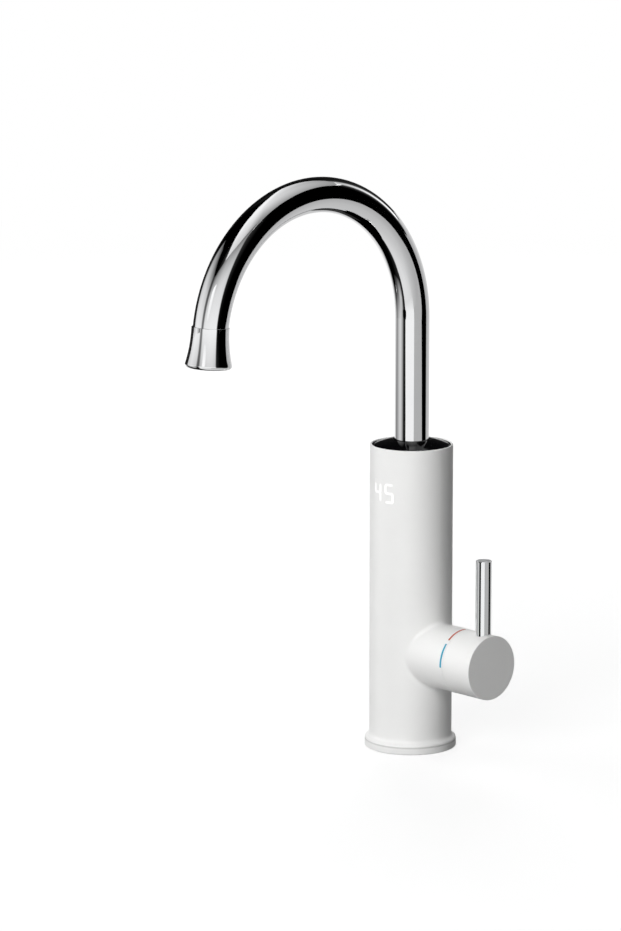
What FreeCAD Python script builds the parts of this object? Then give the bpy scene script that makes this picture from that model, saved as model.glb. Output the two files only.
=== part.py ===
import FreeCAD, Part
import math
import os

# Instant hot water tap. Millimetres. The origin is the centre of the foot's underside, on the
# worktop. +Z is up, the spout points to -Y at rest and the handle sticks out to +X.

# Clearances
slip = 0.1            # radial gap between pieces that are put together and stay together
run = 0.06            # radial gap of a turning or sliding fit
clear = 0.3           # free gap between pieces that pass each other
lap = 0.05            # gap between the two ceramic faces

# Column
column_radius = 27.5
column_wall = 2.5
column_top = 204.6
rim_width = 1.5
rim_round = 0.65
cap_ledge_depth = 7.6

# Foot
base_radius = 30.5
base_ring_height = 4.7
base_ring_width = 6.0
base_edge_round = 0.6
seam_round = 0.4
foot_round = 0.2      # of the column's foot, over the seam
flare_start = 0.25    # of the foot's flare, over the seam
flare_height = 4.3
flare_round = 1.8
gasket_land = 1.5     # of the foot's ring, inside the gasket
gasket_width = 2.5
gasket_depth = 1.5
base_plate_thickness = 3.0
base_spigot_depth = 2.5
base_plate_wall = 1.3

# Screws that hold the foot's plate in the column
base_screw_count = 3
base_screw_first = 30.0 # degrees round from the handle
plate_rim = 1.05      # of the foot's plate, outside a screw's head
base_screw_radius = 1.5
base_screw_length = 12.0
screw_head_radius = 2.75
screw_head_height = 2.0
post_radius = 3.2
post_web = 4.0
post_height = 12.0

# Shank, inlet and clamp below the worktop
worktop_thickness = 30.0
shank_radius = 12.0
shank_bore = 7.0
shank_flange_gap = 2.3 # to the screw posts
shank_flange_height = 4.0
shank_spigot_radius = 9.5
shank_spigot_length = 9.0
thread_below_nut = 3.0
inlet_radius = 10.4
inlet_length = 16.0
inlet_chamfer = 1.0
filter_radius = 8.6
filter_depth = 3.0
filter_length = 12.0
filter_wall = 0.8
washer_radius = 22.0
washer_thickness = 3.0
clamp_radius = 23.0
clamp_thickness = 2.0
nut_flat_half = 16.0
nut_height = 8.0
nut_face_height = 1.2

# Gland for the mains cord
gland_radius = 3.5
gland_bore = 2.9
gland_flange = 1.1
gland_flange_height = 1.5
gland_rise = 3.4

# Valve body
barrel_radius = 14.0
socket_wall = 1.8
socket_seat = 3.0     # x of the socket's floor
socket_mouth = 18.5   # x of the socket's open end
socket_back = 6.0     # how far the socket's boss reaches behind the column's axis
port_radius = 2.8
passage_radius = 4.0
passage_offset = 5.0
valve_port_wall = 2.0
valve_rise = 26.3     # from the handle's axis to the valve body's top face

# Ceramic cartridge, along the handle's axis
seal_thickness = 1.4
fixed_disc_thickness = 4.0
disc_step = 1.5       # between the two discs' radii
disc_land = 0.7       # of the moving disc, outside its ports
moving_disc_thickness = 3.5
carrier_thickness = 3.0
key_width = 3.0
key_depth = 1.5
kidney_depth = 1.5
stem_radius = 5.0
stem_flat = 0.5       # depth of the flat under the grub screw
housing_wall = 2.8
neck_radius = 8.5
neck_length = 12.0
bonnet_wall = 1.9
bonnet_gap = 0.25     # to the side boss's bore
bonnet_lip = 3.2
stop_tab_angle = 20.0
handle_range = 90.0
stop_margin = 1.0     # degrees of play at each end stop
stop_root = 0.6       # how far the stop tab and the stop rib run into what carries them

# Side boss and handle
handle_height = 65.7
handle_radius = 21.4
boss_end = 51.5
boss_wall = 2.5
boss_fillet = 2.5
knob_length = 24.3
knob_round = 0.5
knob_face = 4.2
knob_wall = 4.5
knob_spigot = 5.8
hub_radius = 9.0
stem_grip = 10.0      # length of the stem inside the hub
lever_inset = 7.9
lever_radius = 5.2
lever_reach = 70.75   # from the handle's axis to the lever's top
lever_chamfer = 0.4
lever_seat = 3.2      # depth of the lever's foot in the knob
lever_stud_radius = 3.0
lever_stud_length = 9.0
lever_boss_wall = 2.5
grub_radius = 2.0
grub_length = 5.0
grub_inset = 5.0      # from the knob's inner end
key_hole_radius = 2.4

# Flow switch
pot_offset = 6.0      # y of the flow switch and the heater pot, behind the column's axis
flow_height = 12.0
flow_wall = 2.3
flow_shoulder = 1.2   # of the flow switch, outside its spigot
flow_spigot_length = 8.0
flow_port_radius = 3.0
float_height = 6.0
float_travel = 3.5
float_seat = 1.2      # floor thickness under the float
float_flutes = 4
flute_radius = 1.0
magnet_radius = 2.6
magnet_height = 4.0
reed_pad = 3.5
reed_thickness = 3.0
reed_width = 5.0
reed_length = 10.0

# Heater pot and its cap
pot_radius = 16.0
pot_wall = 2.0
pot_floor = 4.0
pot_gasket = 1.2
cap_disc = 5.8
cap_skirt_wall = 2.3
cap_skirt_length = 10.0
element_radius = 2.5
element_gap = 0.3     # to the pot's wall
element_below = 5.0
element_pin_radius = 1.2
element_pin_length = 4.0
element_head_room = 9.0
ferrule_wall = 0.7
ferrule_height = 3.0
cutout_radius = 5.0
cutout_thickness = 4.8
cutout_pad = 0.6
cutout_margin = 1.0
cutout_rise = 24.0    # over the pot's floor
sensor_radius = 2.0
sensor_hex = 3.0
sensor_head = 6.0
sensor_land = 1.0     # between the sensor and the pot's wall

# Spout socket on the cap
socket_below_top = 9.0
outlet_height = 23.6
outlet_radius = 13.0
outlet_neck_radius = 11.0
outlet_neck_height = 4.0
outlet_passage = 5.5
outlet_bore_depth = 19.0
tail_radius = 9.0
tail_bore = 7.0
collar_radius = 11.2
collar_height = 2.5
tail_grip = 15.0
tail_nut_wall = 1.9
tail_nut_length = 8.0
tail_nut_lip = 2.8

# O-rings
ring_section = 1.0

# Electronics
board_room = 11.0     # from the column's inner wall to the board's back
board_thickness = 1.6
board_half_width = 17.0
board_rise = 4.0      # of the board's lower edge over the pot's underside
board_below_top = 20.6
board_post_radius = 2.6
board_post_x = 11.0
board_post_margin = 5.0
board_screw_radius = 1.0
board_screw_length = 5.0
board_screw_head = 2.0
board_screw_head_height = 1.4
relay_half_width = 8.8
relay_depth = 6.0
relay_height = 15.0
relay_gap = 2.0       # between relay and terminal block
terminal_half_width = 8.0
terminal_depth = 6.0
terminal_height = 10.0
terminal_rise = 6.0   # over the board's lower edge
terminal_ways = 3
terminal_screw_radius = 1.3
display_centre_x = 2.4
display_below_top = 30.6
display_half_width = 9.6
display_half_height = 8.3
display_depth = 5.6
window_half_width = 10.4
window_half_height = 8.6
window_skin = 1.1
diffuser_thickness = 1.8

# Spout
tube_radius = 11.4
tube_wall = 1.2
tube_above_nut = 0.8
bend_start = 289.3
bend_radius = 88.6
bend_sweep = 175.5
nozzle_sleeve = 6.0
nozzle_top_radius = 12.05
nozzle_flare_radius = 14.9
nozzle_flare_sag = 0.8
nozzle_flare_end = 17.5
nozzle_lip = 2.5
nozzle_lip_width = 1.4
nozzle_edge = 0.15
nozzle_shoulder = 0.5 # step that the tube's end sits on
aerator_mouth = 4.5
aerator_washer_thickness = 2.0
aerator_washer_width = 2.5
aerator_wall = 1.4
aerator_floor = 2.0
aerator_jet_radius = 1.1
aerator_outer_circle = 8.2
aerator_outer_jets = 12
aerator_inner_circle = 4.4
aerator_inner_jets = 6

# Black cap round the tube
cap_rise = 3.3        # of the collar over the column's rim
cap_edge_drop = 1.6   # of the bevel's foot under the rim
cap_bevel = 1.2
cap_wall = 2.2
cap_collar = 1.0

# Places worked out from the sizes above
V = FreeCAD.Vector
inner_radius = column_radius - column_wall
cap_recess = column_radius - rim_width
cap_ledge = column_top - cap_ledge_depth
ring_inner = base_radius - base_ring_width
gasket_inner = ring_inner + gasket_land
plate_recess = column_radius - base_plate_wall
base_screw_circle = ring_inner - plate_rim - screw_head_radius - 2 * slip
shank_flange_radius = base_screw_circle - post_radius - shank_flange_gap
gland_offset = shank_radius + clear + gland_radius
plate_bottom = base_ring_height - base_spigot_depth
plate_top = base_ring_height + base_plate_thickness
flange_top = plate_top + shank_flange_height
washer_top = -worktop_thickness
clamp_top = washer_top - washer_thickness
nut_top = clamp_top - clamp_thickness
shank_step = nut_top - nut_height - thread_below_nut
inlet_low = shank_step - inlet_length
valve_top = handle_height + valve_rise
flow_top = valve_top + flow_height
outlet_top = column_top - socket_below_top
pot_cap_top = outlet_top - outlet_height
pot_top = pot_cap_top - cap_disc - pot_gasket
pot_inner = pot_radius - pot_wall
element_circle = pot_inner - element_radius - element_gap
sensor_offset = pot_inner - sensor_radius - sensor_land
flow_radius = element_circle - element_radius - ferrule_wall - 2 * slip
flow_bore = flow_radius - flow_wall
flow_spigot_radius = flow_radius - flow_shoulder
boss_bore = handle_radius - boss_wall
socket_radius = boss_bore - bonnet_gap - bonnet_wall - slip
socket_bore = socket_radius - socket_wall
housing_radius = socket_bore - clear
disc_bore = housing_radius - housing_wall
disc_radius = disc_bore - slip
moving_disc_radius = disc_radius - disc_step
port_offset = moving_disc_radius - disc_land - port_radius
fixed_disc_x = socket_seat + seal_thickness
moving_disc_x = fixed_disc_x + fixed_disc_thickness + lap
carrier_x = moving_disc_x + moving_disc_thickness
housing_shoulder_x = carrier_x + carrier_thickness + clear
housing_end_x = socket_mouth + clear
tab_radius = disc_bore - clear
knob_start = boss_end + clear
knob_end = knob_start + knob_length
stem_end = knob_start + stem_grip
lever_x = knob_end - lever_inset
lever_top = handle_height + lever_reach
tube_bottom = outlet_top + clear + tail_nut_lip + tube_above_nut
tube_inner = tube_radius - tube_wall
tail_top = tube_bottom + tail_grip
nozzle_bore = tube_radius - nozzle_shoulder
outlet_floor = outlet_top - outlet_bore_depth
collar_low = outlet_top - collar_height
board_back = board_room - inner_radius
board_front = board_back - board_thickness
board_low = flow_top + board_rise
board_high = column_top - board_below_top
terminal_low = board_low + terminal_rise
relay_low = terminal_low + terminal_height + relay_gap
display_height = column_top - display_below_top
pot_skirt_low = pot_cap_top - cap_disc - cap_skirt_length
cutout_height = flow_top + cutout_rise
post_rows = [board_low + board_post_margin, pot_skirt_low - board_post_margin]
post_columns = [-board_post_x, board_post_x]


def cylinder(radius, low, high, x=0.0, y=0.0):
    return Part.makeCylinder(radius, high - low, V(x, y, low))


def ring(outer, inner, low, high, x=0.0, y=0.0):
    return cylinder(outer, low, high, x, y).cut(cylinder(inner, low, high, x, y))


def rod(radius, start, direction, length):
    return Part.makeCylinder(radius, length, V(*start), V(*direction))


def block(x0, x1, y0, y1, z0, z1):
    return Part.makeBox(x1 - x0, y1 - y0, z1 - z0, V(x0, y0, z0))


def bend(centre_r, centre_z, radius, start, end):
    # a round corner of an outline: its middle point and its end, angles in degrees
    middle = math.radians((start + end) / 2)
    last = math.radians(end)
    return (centre_r + radius * math.cos(middle), centre_z + radius * math.sin(middle),
            centre_r + radius * math.cos(last), centre_z + radius * math.sin(last))


def turned(outline):
    # a solid turned about Z from an outline of (r, z) corners and bends
    here = V(outline[0][0], 0, outline[0][1])
    edges = []
    for step in outline[1:] + outline[:1]:
        there = V(step[-2], 0, step[-1])
        if len(step) == 4:
            edges.append(Part.Arc(here, V(step[0], 0, step[1]), there).toShape())
        else:
            edges.append(Part.LineSegment(here, there).toShape())
        here = there
    return Part.Face(Part.Wire(edges)).revolve(V(0, 0, 0), V(0, 0, 1), 360)


def sector(outer, inner, low, high, start, end):
    # a piece of a ring between two angles in degrees
    wall = Part.LineSegment(V(inner, 0, low), V(outer, 0, low)).toShape().extrude(V(0, 0, high - low))
    piece = wall.revolve(V(0, 0, 0), V(0, 0, 1), end - start)
    piece.rotate(V(0, 0, 0), V(0, 0, 1), start)
    return piece


def o_ring(inner, height, x=0.0, y=0.0):
    return Part.makeTorus(inner + ring_section, ring_section, V(x, y, height))


def ring_groove(inner, outer, height, x=0.0, y=0.0):
    return ring(outer, inner, height - ring_section - slip, height + ring_section + slip, x, y)


def on_handle_axis(shape):
    # lays a piece made along Z onto the handle's axis, with its +Z pointing to +X
    shape.rotate(V(0, 0, 0), V(0, 1, 0), 90)
    shape.translate(V(0, 0, handle_height))
    return shape


def at_spout_end(shape):
    # puts a piece made along Z at the end of the bend, with its +Z pointing along the flow
    sweep = math.radians(bend_sweep)
    shape.rotate(V(0, 0, 0), V(1, 0, 0), bend_sweep)
    shape.translate(V(0, bend_radius * (math.cos(sweep) - 1), bend_start + bend_radius * math.sin(sweep)))
    return shape


def base_screw_places():
    step = 360 / base_screw_count
    angles = [math.radians(base_screw_first + step * k) for k in range(base_screw_count)]
    return [(base_screw_circle * math.cos(a), base_screw_circle * math.sin(a)) for a in angles]


def element_legs():
    half = element_circle / math.sqrt(2)
    return [(x, pot_offset + y) for y in (-half, half) for x in (-half, half)]


def window(half_width, half_height, outer, inner):
    # a curved plate behind the column's front wall, where the digits shine through
    plate = block(display_centre_x - half_width, display_centre_x + half_width,
                  -column_radius, board_front,
                  display_height - half_height, display_height + half_height)
    return plate.common(ring(outer, inner, plate.BoundBox.ZMin, plate.BoundBox.ZMax))


def body_shell():
    low = base_ring_height
    # the foot flares in a hollow curve off the column, then a round edge
    flare_low = low + flare_start
    lean = 2 * math.atan((base_radius - column_radius) / flare_height)
    hollow = flare_height / math.sin(lean) - flare_round
    tilt = math.degrees(lean)
    outside = turned([
        (0, low),
        (base_radius - foot_round, low),
        bend(base_radius - foot_round, low + foot_round, foot_round, -90, 0),
        (base_radius, flare_low),
        bend(base_radius - flare_round, flare_low, flare_round, 0, tilt),
        bend(column_radius + hollow, flare_low + flare_height, hollow, 180 + tilt, 180),
        (column_radius, column_top - rim_round),
        bend(column_radius - rim_round, column_top - rim_round, rim_round, 0, 90),
        (0, column_top),
    ])
    outside = outside.fuse(rod(handle_radius, (0, 0, handle_height), (1, 0, 0), boss_end))
    crossing = [edge for edge in outside.Edges if edge.Curve.TypeId == "Part::GeomBSplineCurve"]
    outside = outside.makeFillet(boss_fillet, crossing)
    inside = turned([
        (0, low),
        (plate_recess, low),
        (plate_recess, plate_top),
        (inner_radius, plate_top),
        (inner_radius, cap_ledge),
        (cap_recess, cap_ledge),
        (cap_recess, column_top - rim_round),
        bend(cap_recess + rim_round, column_top - rim_round, rim_round, 180, 90),
        (0, column_top),
    ])
    shell = outside.cut(inside).cut(rod(boss_bore, (0, 0, handle_height), (1, 0, 0), boss_end))
    post_top = plate_top + post_height
    for x, y in base_screw_places():
        web = block(base_screw_circle, inner_radius + column_wall / 2, -post_web / 2, post_web / 2,
                    plate_top, post_top)
        web.rotate(V(0, 0, 0), V(0, 0, 1), math.degrees(math.atan2(y, x)))
        shell = shell.fuse(cylinder(post_radius, plate_top, post_top, x, y).fuse(web))
    for x, y in base_screw_places():
        shell = shell.cut(cylinder(base_screw_radius + slip, plate_top, post_top, x, y))
    skin = column_radius - window_skin
    return shell.cut(window(window_half_width, window_half_height, skin, inner_radius - column_wall))


def base_ring():
    high = base_ring_height
    gasket_outer = gasket_inner + gasket_width
    return turned([
        (ring_inner, 0),
        (gasket_inner, 0),
        (gasket_inner, gasket_depth),
        (gasket_outer, gasket_depth),
        (gasket_outer, 0),
        (base_radius - base_edge_round, 0),
        bend(base_radius - base_edge_round, base_edge_round, base_edge_round, -90, 0),
        (base_radius, high - seam_round),
        bend(base_radius - seam_round, high - seam_round, seam_round, 0, 90),
        (ring_inner, high),
    ])


def base_gasket():
    return ring(gasket_inner + gasket_width - slip, gasket_inner + slip, 0, gasket_depth)


def base_plate():
    plate = cylinder(plate_recess - slip, base_ring_height, plate_top)
    plate = plate.fuse(cylinder(ring_inner - slip, plate_bottom, base_ring_height))
    plate = plate.cut(cylinder(shank_radius + slip, plate_bottom, plate_top))
    plate = plate.cut(cylinder(gland_radius + slip, plate_bottom, plate_top, 0, gland_offset))
    for x, y in base_screw_places():
        plate = plate.cut(cylinder(base_screw_radius + slip, plate_bottom, plate_top, x, y))
        plate = plate.cut(cylinder(screw_head_radius + slip, plate_bottom, base_ring_height, x, y))
    return plate


def base_screws():
    screws = []
    for x, y in base_screw_places():
        head = cylinder(screw_head_radius, base_ring_height - screw_head_height, base_ring_height, x, y)
        stem = cylinder(base_screw_radius, base_ring_height, base_ring_height + base_screw_length, x, y)
        screws.append(head.fuse(stem))
    return Part.makeCompound(screws)


def shank_seal_height():
    return flange_top + shank_spigot_length / 2


def shank_seal_inner():
    return shank_spigot_radius + slip / 2 - 2 * ring_section


def inlet_shank():
    shank = turned([
        (filter_radius, inlet_low),
        (inlet_radius - inlet_chamfer, inlet_low),
        (inlet_radius, inlet_low + inlet_chamfer),
        (inlet_radius, shank_step),
        (shank_radius, shank_step),
        (shank_radius, plate_top),
        (shank_flange_radius, plate_top),
        (shank_flange_radius, flange_top),
        (shank_spigot_radius, flange_top),
        (shank_spigot_radius, flange_top + shank_spigot_length),
        (shank_bore, flange_top + shank_spigot_length),
        (shank_bore, inlet_low + filter_depth),
        (filter_radius, inlet_low + filter_depth),
    ])
    # the flange has a flat that keeps clear of the gland
    flat = gland_offset - gland_radius - gland_flange - slip
    shank = shank.cut(block(-shank_flange_radius, shank_flange_radius, flat, shank_flange_radius,
                            plate_top, flange_top))
    return shank.cut(ring_groove(shank_seal_inner(), shank_spigot_radius + slip, shank_seal_height()))


def inlet_seal():
    return o_ring(shank_seal_inner(), shank_seal_height())


def inlet_filter():
    outer = shank_bore - 2 * slip
    top = inlet_low + filter_length
    return turned([
        (outer - filter_wall, inlet_low + filter_wall),
        (filter_radius - slip, inlet_low + filter_wall),
        (filter_radius - slip, inlet_low + filter_depth),
        (outer, inlet_low + filter_depth),
        (outer, top - filter_wall),
        (outer - filter_wall, top),
        (0, top),
        (0, top - filter_wall),
        (outer - filter_wall, top - filter_wall),
    ])


def horseshoe(radius, low, high):
    slot = gland_radius + slip
    plate = ring(radius, shank_radius + slip, low, high)
    return plate.cut(block(-slot, slot, 0, radius, low, high))


def worktop_washer():
    return horseshoe(washer_radius, clamp_top, washer_top)


def clamp_plate():
    return horseshoe(clamp_radius, nut_top, clamp_top)


def backnut():
    low = nut_top - nut_height
    corner = nut_flat_half / math.cos(math.radians(30))
    corners = [V(corner * math.cos(math.radians(60 * k)), corner * math.sin(math.radians(60 * k)), low)
               for k in range(7)]
    nut = Part.Face(Part.makePolygon(corners)).extrude(V(0, 0, nut_height - nut_face_height))
    nut = nut.fuse(cylinder(nut_flat_half, nut_top - nut_face_height, nut_top))
    return nut.cut(cylinder(shank_radius + slip, low, nut_top))


def cable_gland():
    gland = cylinder(gland_radius, plate_bottom, plate_top + gland_rise, 0, gland_offset)
    flange = gland_radius + gland_flange
    gland = gland.fuse(cylinder(flange, plate_top, plate_top + gland_flange_height, 0, gland_offset))
    return gland.cut(cylinder(gland_bore, plate_bottom, plate_top + gland_rise, 0, gland_offset))


def valve_body():
    spigot_top = flange_top + shank_spigot_length + clear
    port_top = valve_top - flow_spigot_length - clear
    body = cylinder(barrel_radius, flange_top, handle_height + passage_radius)
    back = (-socket_back, 0, handle_height)
    body = body.fuse(rod(socket_radius, back, (1, 0, 0), socket_back + socket_mouth))
    port_outer = flow_spigot_radius + slip + valve_port_wall
    body = body.fuse(cylinder(port_outer, handle_height, valve_top, 0, pot_offset))
    body = body.cut(rod(socket_bore, (socket_seat, 0, handle_height), (1, 0, 0), socket_mouth - socket_seat))
    body = body.cut(cylinder(shank_spigot_radius + slip, flange_top, spigot_top))
    body = body.cut(cylinder(flow_spigot_radius + slip, port_top, valve_top, 0, pot_offset))
    inlet_end = handle_height - port_offset + port_radius
    body = body.cut(cylinder(passage_radius, spigot_top, inlet_end, -passage_offset))
    outlet_start = handle_height + port_offset - port_radius
    body = body.cut(cylinder(port_radius, outlet_start, port_top, -port_offset / 2, pot_offset / 2))
    for side in (-port_offset, port_offset):
        start = (-passage_offset, 0, handle_height + side)
        body = body.cut(rod(port_radius, start, (1, 0, 0), passage_offset + socket_seat))
    return body


def cartridge_seal():
    seal = cylinder(disc_radius, socket_seat, fixed_disc_x)
    for side in (-port_offset, port_offset):
        seal = seal.cut(cylinder(port_radius, socket_seat, fixed_disc_x, side))
    return on_handle_axis(seal)


def fixed_disc():
    face = fixed_disc_x + fixed_disc_thickness
    disc = cylinder(disc_radius, fixed_disc_x, face)
    for side in (-port_offset, port_offset):
        disc = disc.cut(cylinder(port_radius, fixed_disc_x, face, side))
    return on_handle_axis(disc)


def moving_disc():
    high = carrier_x
    disc = cylinder(moving_disc_radius, moving_disc_x, high)
    half_key = key_width / 2 + slip
    slot = block(-moving_disc_radius, moving_disc_radius, -half_key, half_key, high - key_depth, high)
    # a blind kidney joins the two ports when the lever is forward
    kidney = sector(port_offset + port_radius, port_offset - port_radius,
                    moving_disc_x, moving_disc_x + kidney_depth, 0, 180)
    return on_handle_axis(disc.cut(slot).cut(kidney))


def stem_seal_places():
    third = neck_length / 3
    return [housing_end_x + third, housing_end_x + 2 * third]


def stem_seal_inner():
    return stem_radius + run / 2 - 2 * ring_section


def valve_spindle():
    high = carrier_x + carrier_thickness
    spindle = cylinder(moving_disc_radius, carrier_x, high)
    half_key = key_width / 2
    key_low = carrier_x - key_depth + lap
    key = block(-moving_disc_radius, moving_disc_radius, -half_key, half_key, key_low, carrier_x)
    spindle = spindle.fuse(key.common(cylinder(moving_disc_radius, key_low, carrier_x)))
    half_tab = stop_tab_angle / 2
    tab = sector(tab_radius, moving_disc_radius - stop_root, carrier_x, high, 180 - half_tab, 180 + half_tab)
    spindle = spindle.fuse(tab).fuse(cylinder(stem_radius, high, stem_end))
    for height in stem_seal_places():
        spindle = spindle.cut(ring_groove(stem_seal_inner(), stem_radius + run, height))
    # a flat under the grub screw
    flat = block(stem_radius - stem_flat, stem_radius, -stem_radius, stem_radius,
                 stem_end - stem_grip, stem_end)
    return on_handle_axis(spindle.cut(flat))


def spindle_o_rings():
    return Part.makeCompound([on_handle_axis(o_ring(stem_seal_inner(), height))
                              for height in stem_seal_places()])


def cartridge_housing():
    housing = turned([
        (disc_bore, socket_seat),
        (housing_radius, socket_seat),
        (housing_radius, housing_end_x),
        (neck_radius, housing_end_x),
        (neck_radius, housing_end_x + neck_length),
        (stem_radius + run, housing_end_x + neck_length),
        (stem_radius + run, housing_shoulder_x),
        (disc_bore, housing_shoulder_x),
    ])
    # the stop rib fills the part of the bore that the spindle's tab never reaches
    half_tab = stop_tab_angle / 2
    first = 180 + handle_range + half_tab + stop_margin
    last = 180 + 360 - half_tab - stop_margin
    rib = sector(disc_bore + stop_root, moving_disc_radius + clear, carrier_x, housing_shoulder_x,
                 first, last)
    return on_handle_axis(housing.fuse(rib))


def cartridge_nut():
    outer = socket_radius + slip + bonnet_wall
    skirt = barrel_radius + clear
    return on_handle_axis(turned([
        (socket_radius + slip, skirt),
        (outer, skirt),
        (outer, housing_end_x + bonnet_lip),
        (neck_radius + slip, housing_end_x + bonnet_lip),
        (neck_radius + slip, housing_end_x),
        (socket_radius + slip, housing_end_x),
    ]))


def knob():
    spigot = boss_bore - clear
    cavity = handle_radius - knob_wall
    face = knob_end - knob_face
    body = turned([
        (0, face),
        (cavity, face),
        (cavity, knob_start - knob_spigot),
        (spigot, knob_start - knob_spigot),
        (spigot, knob_start),
        (handle_radius, knob_start),
        (handle_radius, knob_end - knob_round),
        bend(handle_radius - knob_round, knob_end - knob_round, knob_round, 0, 90),
        (0, knob_end),
    ])
    body = on_handle_axis(body.fuse(cylinder(hub_radius, knob_start, face)))
    centre = (0, 0, handle_height)
    seat = handle_height + handle_radius - lever_seat
    boss = cylinder(lever_radius + lever_boss_wall, handle_height, handle_height + handle_radius, lever_x)
    core = rod(handle_radius - knob_wall / 2, centre, (1, 0, 0), knob_end - knob_round)
    body = body.fuse(boss.common(core))
    body = body.cut(rod(stem_radius + slip, (knob_start, 0, handle_height), (1, 0, 0), stem_grip + clear))
    body = body.cut(cylinder(lever_radius + slip, seat, handle_height + handle_radius, lever_x))
    body = body.cut(cylinder(lever_stud_radius + slip, seat - lever_stud_length - clear, seat, lever_x))
    grub_x = knob_start + grub_inset
    under = handle_height - hub_radius
    body = body.cut(cylinder(grub_radius + slip, under, handle_height, grub_x))
    return body.cut(cylinder(key_hole_radius, handle_height - handle_radius, under, grub_x))


def lever_pin():
    seat = handle_height + handle_radius - lever_seat
    pin = turned([
        (0, seat - lever_stud_length),
        (lever_stud_radius, seat - lever_stud_length),
        (lever_stud_radius, seat),
        (lever_radius, seat),
        (lever_radius, lever_top - lever_chamfer),
        (lever_radius - lever_chamfer, lever_top),
        (0, lever_top),
    ])
    pin.translate(V(lever_x, 0, 0))
    return pin


def grub_screw():
    top = handle_height - stem_radius + stem_flat
    return cylinder(grub_radius, top - grub_length, top, knob_start + grub_inset)


def float_low():
    return valve_top + float_seat


def flow_seal_places():
    half = flow_spigot_length / 2
    return [valve_top - half, flow_top + pot_floor / 2]


def flow_seal_inner():
    return flow_spigot_radius + slip / 2 - 2 * ring_section


def flow_switch_body():
    low = valve_top - flow_spigot_length
    high = flow_top + flow_spigot_length
    body = cylinder(flow_spigot_radius, low, high, 0, pot_offset)
    body = body.fuse(cylinder(flow_radius, valve_top, flow_top, 0, pot_offset))
    pad = block(-flow_radius - reed_pad, 0, pot_offset - reed_width / 2, pot_offset + reed_width / 2,
                valve_top + slip, flow_top - slip)
    body = body.fuse(pad)
    float_room = float_low() + float_height + float_travel + clear
    body = body.cut(cylinder(flow_bore, float_low(), float_room, 0, pot_offset))
    body = body.cut(cylinder(flow_port_radius, low, high, 0, pot_offset))
    for height in flow_seal_places():
        body = body.cut(ring_groove(flow_seal_inner(), flow_spigot_radius + slip, height, 0, pot_offset))
    return body


def flow_switch_seals():
    return Part.makeCompound([o_ring(flow_seal_inner(), height, 0, pot_offset)
                              for height in flow_seal_places()])


def flow_float():
    low = float_low()
    radius = flow_bore - clear
    piece = cylinder(radius, low, low + float_height, 0, pot_offset)
    piece = piece.cut(cylinder(magnet_radius + slip, low + float_height - magnet_height, low + float_height,
                               0, pot_offset))
    for k in range(float_flutes):
        angle = 2 * math.pi * k / float_flutes
        piece = piece.cut(cylinder(flute_radius, low, low + float_height, radius * math.cos(angle),
                                   pot_offset + radius * math.sin(angle)))
    return piece


def float_magnet():
    high = float_low() + float_height
    return cylinder(magnet_radius, high - magnet_height, high, 0, pot_offset)


def reed_switch():
    pad = -flow_radius - reed_pad
    middle = (valve_top + flow_top) / 2
    return block(pad - reed_thickness, pad, pot_offset - reed_width / 2, pot_offset + reed_width / 2,
                 middle - reed_length / 2, middle + reed_length / 2)


def heater_chamber():
    pot = cylinder(pot_radius, flow_top, pot_top, 0, pot_offset)
    pad_x = pot_radius + cutout_pad
    pad = cutout_radius + cutout_margin
    pot = pot.fuse(block(0, pad_x, pot_offset - pad, pot_offset + pad,
                         cutout_height - pad, cutout_height + pad))
    for x in post_columns:
        for z in post_rows:
            pot = pot.fuse(rod(board_post_radius, (x, pot_offset, z), (0, -1, 0), pot_offset - board_back))
            pot = pot.cut(rod(board_screw_radius + slip, (x, board_back, z), (0, 1, 0), board_screw_length))
    pot = pot.cut(cylinder(pot_inner, flow_top + pot_floor, pot_top, 0, pot_offset))
    pot = pot.cut(cylinder(flow_spigot_radius + slip, flow_top, flow_top + pot_floor, 0, pot_offset))
    for x, y in element_legs():
        pot = pot.cut(cylinder(element_radius + slip, flow_top, flow_top + pot_floor, x, y))
    return pot


def hairpin(y):
    half = element_circle / math.sqrt(2)
    low = flow_top - element_below
    bend_centre = pot_top - element_head_room - half - element_radius
    start = V(-half, y, low)
    path = Part.Wire([
        Part.LineSegment(start, V(-half, y, bend_centre)).toShape(),
        Part.Arc(V(-half, y, bend_centre), V(0, y, bend_centre + half), V(half, y, bend_centre)).toShape(),
        Part.LineSegment(V(half, y, bend_centre), V(half, y, low)).toShape(),
    ])
    section = Part.Wire(Part.Circle(start, V(0, 0, 1), element_radius).toShape())
    tube = path.makePipeShell([section], True, False)
    for x in (-half, half):
        tube = tube.fuse(cylinder(element_pin_radius, low - element_pin_length, low, x, y))
    return tube


def heating_elements():
    half = element_circle / math.sqrt(2)
    return Part.makeCompound([hairpin(pot_offset - half), hairpin(pot_offset + half)])


def element_glands():
    outer = element_radius + slip + ferrule_wall
    return Part.makeCompound([ring(outer, element_radius + slip, flow_top - ferrule_height, flow_top, x, y)
                              for x, y in element_legs()])


def chamber_seal():
    return ring(pot_radius, pot_inner, pot_top, pot_top + pot_gasket, 0, pot_offset)


def sensor_y():
    return pot_offset + sensor_offset


def chamber_cap():
    disc_low = pot_cap_top - cap_disc
    skirt = pot_radius + slip
    cap = cylinder(skirt + cap_skirt_wall, pot_skirt_low, pot_cap_top, 0, pot_offset)
    cap = cap.cut(cylinder(skirt, pot_skirt_low, disc_low, 0, pot_offset))
    neck_top = pot_cap_top + outlet_neck_height
    cap = cap.fuse(cylinder(outlet_neck_radius, pot_cap_top, neck_top))
    cap = cap.fuse(cylinder(outlet_radius, neck_top, outlet_top))
    cap = cap.cut(cylinder(tail_radius + run, outlet_floor, outlet_top))
    cap = cap.cut(cylinder(collar_radius + clear, collar_low, outlet_top))
    cap = cap.cut(cylinder(outlet_passage, disc_low, outlet_floor))
    return cap.cut(cylinder(sensor_radius + slip, disc_low, pot_cap_top, 0, sensor_y()))


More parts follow.
